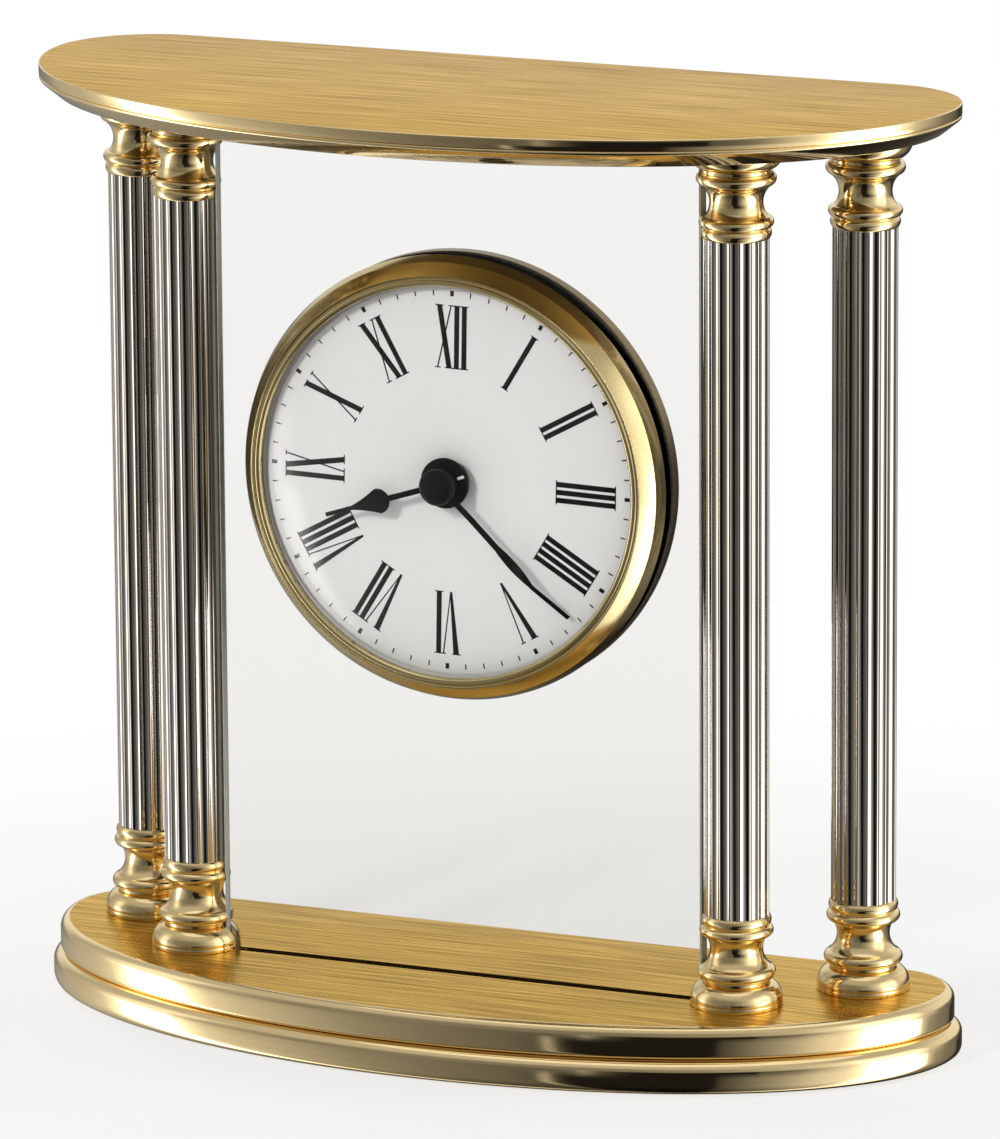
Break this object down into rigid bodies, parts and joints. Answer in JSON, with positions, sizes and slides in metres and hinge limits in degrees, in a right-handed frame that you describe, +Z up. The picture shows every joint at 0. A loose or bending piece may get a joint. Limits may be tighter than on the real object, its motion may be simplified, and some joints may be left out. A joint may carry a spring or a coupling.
{
  "type": "pillar table clock",
  "caption": "Brass and chrome pillar clock: fluted columns carry a bowed top over a glass panel with a round white alarm dial.",
  "frame": {"origin": "on the table surface, under the middle of the top plate and in the mid-plane of the glass panel", "axes": "+X to the right as seen by someone reading the dial, +Y away from the reader, +Z up; the dial faces -Y"},
  "size_m": [0.1672, 0.0698, 0.165],
  "materials": {
    "brass_plate": "brushed along X on the flat tops, polished on the rounded edges",
    "polished_brass": "polished and lacquered",
    "chrome_tube": "bright plated, fluted",
    "panel_glass": "clear, polished edges",
    "lens_glass": "clear dome",
    "dial_white": "matt white with black printing",
    "hand_black": "satin black",
    "case_black": "moulded, fine grain",
    "black_rubber": "matt",
    "base_felt": "napped felt",
    "plated_steel": "zinc plated",
    "movement_plastic": "moulded",
    "gear_brass": "machined",
    "board_green": "solder mask",
    "coil_copper": "enamelled wire",
    "cell_wrap": "plain printed sleeve"
  },
  "bodies": {
    "stand": {"back_cover": "case_black", "base_lower_plate": "brass_plate", "base_upper_plate": "brass_plate", "battery_cell": "cell_wrap", "battery_contact_negative": "plated_steel", "battery_contact_positive": "plated_steel", "bezel": "polished_brass", "buzzer": "gear_brass", "circuit_board": "board_green", "column_base_back_left": "polished_brass", "column_base_back_right": "polished_brass", "column_base_front_left": "polished_brass", "column_base_front_right": "polished_brass", "column_capital_back_left": "polished_brass", "column_capital_back_right": "polished_brass", "column_capital_front_left": "polished_brass", "column_capital_front_right": "polished_brass", "column_tube_back_left": "chrome_tube", "column_tube_back_right": "chrome_tube", "column_tube_front_left": "chrome_tube", "column_tube_front_right": "chrome_tube", "dial": "dial_white", "dial_nut": "gear_brass", "drive_coil": "coil_copper", "felt_pad": "base_felt", "front_gasket": "black_rubber", "gear_cartridge": "movement_plastic", "glass_panel": "panel_glass", "insert_case": "case_black", "lens": "lens_glass", "movement_front_housing": "movement_plastic", "movement_rear_housing": "movement_plastic", "movement_screws": "plated_steel", "panel_cushion_lower": "black_rubber", "panel_cushion_upper": "black_rubber", "rear_gasket": "black_rubber", "retaining_ring": "polished_brass", "stator": "plated_steel", "tie_rod_back_left": "plated_steel", "tie_rod_back_right": "plated_steel", "tie_rod_front_left": "plated_steel", "tie_rod_front_right": "plated_steel", "tie_rod_nuts": "plated_steel", "tie_rod_washers": "plated_steel", "top_lower_plate": "brass_plate", "top_upper_plate": "brass_plate"},
    "minute_work": {"minute_arbor": "gear_brass", "minute_hand": "hand_black", "centre_cap": "hand_black"},
    "hour_work": {"hour_wheel": "gear_brass", "hour_hand": "hand_black"},
    "setting_work": {"minute_wheel": "gear_brass", "time_set_knob": "case_black"},
    "alarm_work": {"alarm_wheel": "gear_brass", "alarm_disc": "hand_black"},
    "alarm_setting_work": {"alarm_set_arbor": "gear_brass", "alarm_set_knob": "case_black"},
    "switch_button": {"alarm_switch": "case_black"},
    "door": {"battery_door": "case_black"}
  },
  "joints": [
    {"name": "minute_hand_turn", "type": "hinge", "parent": "stand", "child": "minute_work", "pos_m": [0, 0, 0.0995], "axis": [0, 1, 0], "continuous": true},
    {"name": "hour_hand_turn", "type": "hinge", "parent": "stand", "child": "hour_work", "pos_m": [0, 0, 0.0995], "axis": [0, 1, 0], "continuous": true},
    {"name": "time_set_turn", "type": "hinge", "parent": "stand", "child": "setting_work", "pos_m": [0.0125, 0, 0.0995], "axis": [0, 1, 0], "continuous": true},
    {"name": "alarm_disc_turn", "type": "hinge", "parent": "stand", "child": "alarm_work", "pos_m": [0, 0, 0.0995], "axis": [0, 1, 0], "continuous": true},
    {"name": "alarm_set_turn", "type": "hinge", "parent": "stand", "child": "alarm_setting_work", "pos_m": [-0.0125, 0, 0.0995], "axis": [0, 1, 0], "continuous": true},
    {"name": "alarm_switch_move", "type": "slide", "parent": "stand", "child": "switch_button", "axis": [1, 0, 0], "range_m": [0, 0.004]},
    {"name": "battery_door_move", "type": "slide", "parent": "stand", "child": "door", "axis": [0, 0, -1], "range_m": [0, 0.012]}
  ],
  "couplings": [
    {"joint": "hour_hand_turn", "follows": "minute_hand_turn", "ratio": 0.083333},
    {"joint": "time_set_turn", "follows": "minute_hand_turn", "ratio": -0.33333},
    {"joint": "alarm_set_turn", "follows": "alarm_disc_turn", "ratio": -4}
  ]
}
